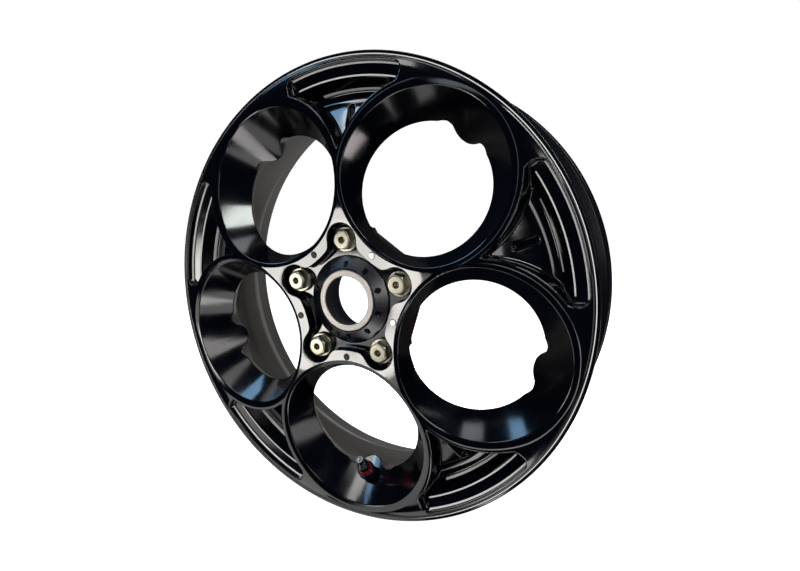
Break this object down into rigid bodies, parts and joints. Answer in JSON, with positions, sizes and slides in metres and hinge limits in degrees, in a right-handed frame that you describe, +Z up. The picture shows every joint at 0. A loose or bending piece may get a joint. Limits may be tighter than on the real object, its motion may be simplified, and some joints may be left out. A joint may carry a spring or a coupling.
{
  "type": "racing wheel",
  "caption": "Scooter road-racing wheel with tilted conical holes, stepped rim bands, star hub recess, flanged bolts, bearing sleeve and angled valve.",
  "frame": {"origin": "on the axle line, in the plane of the front flange's outer edge, inside the sleeve's nose bore", "axes": "+Y along the axle from the outer face towards the barrel's rear, +Z up with the valve at the bottom"},
  "size_m": [0.332, 0.1008, 0.332],
  "materials": {
    "wheel_black": "gloss black anodised, turned and milled",
    "hub_satin": "satin machined face",
    "carrier_grey": "dark anodised",
    "anodised_red": "red anodised",
    "cap_black": "gloss black anodised",
    "machined_silver": "fine turned",
    "bearing_steel": "ground",
    "cage_brass": "plain",
    "seal_rubber": "matt",
    "bolt_titanium": "straw-coloured titanium",
    "pin_steel": "ground",
    "valve_plate": "bright plated"
  },
  "bodies": {
    "axle": {"axle_sleeve": "machined_silver", "bearing_spacer": "machined_silver", "inner_race_front": "bearing_steel", "inner_race_rear": "bearing_steel"},
    "wheel": {"rim_barrel": "wheel_black", "rim_front": "wheel_black", "spoke_1": "wheel_black", "spoke_2": "wheel_black", "spoke_3": "wheel_black", "spoke_4": "wheel_black", "spoke_5": "wheel_black", "hub_flange": "hub_satin", "hub_carrier": "carrier_grey", "drive_keys": "anodised_red", "front_cap": "cap_black", "outer_race_front": "bearing_steel", "outer_race_rear": "bearing_steel", "retaining_ring": "bearing_steel", "shield_front": "seal_rubber", "shield_rear": "seal_rubber", "rear_seal": "seal_rubber", "valve_seal": "seal_rubber", "wheel_bolt_1": "bolt_titanium", "wheel_bolt_2": "bolt_titanium", "wheel_bolt_3": "bolt_titanium", "wheel_bolt_4": "bolt_titanium", "wheel_bolt_5": "bolt_titanium", "wheel_nut_1": "bolt_titanium", "wheel_nut_2": "bolt_titanium", "wheel_nut_3": "bolt_titanium", "wheel_nut_4": "bolt_titanium", "wheel_nut_5": "bolt_titanium", "hub_pins": "pin_steel", "valve_body": "cap_black", "valve_nut": "cap_black", "valve_band": "anodised_red", "valve_mouth": "valve_plate", "valve_core": "cage_brass"},
    "front_ball_cage": {"cage_front": "cage_brass", "balls_front": "bearing_steel"},
    "rear_ball_cage": {"cage_rear": "cage_brass", "balls_rear": "bearing_steel"},
    "valve_plunger": {"valve_pin": "cage_brass"}
  },
  "joints": [
    {"name": "wheel_spin", "type": "hinge", "parent": "axle", "child": "wheel", "pos_m": [0, 0, 0], "axis": [0, 1, 0], "continuous": true},
    {"name": "front_cage_spin", "type": "hinge", "parent": "axle", "child": "front_ball_cage", "pos_m": [0, 0, 0], "axis": [0, 1, 0], "continuous": true},
    {"name": "rear_cage_spin", "type": "hinge", "parent": "axle", "child": "rear_ball_cage", "pos_m": [0, 0, 0], "axis": [0, 1, 0], "continuous": true},
    {"name": "valve_pin_press", "type": "slide", "parent": "wheel", "child": "valve_plunger", "axis": [0, 0.5891, -0.8081], "range_m": [0, 0.001], "stiffness_N_per_m": 300}
  ],
  "couplings": [
    {"joint": "front_cage_spin", "follows": "wheel_spin", "ratio": 0.534},
    {"joint": "rear_cage_spin", "follows": "wheel_spin", "ratio": 0.534}
  ]
}
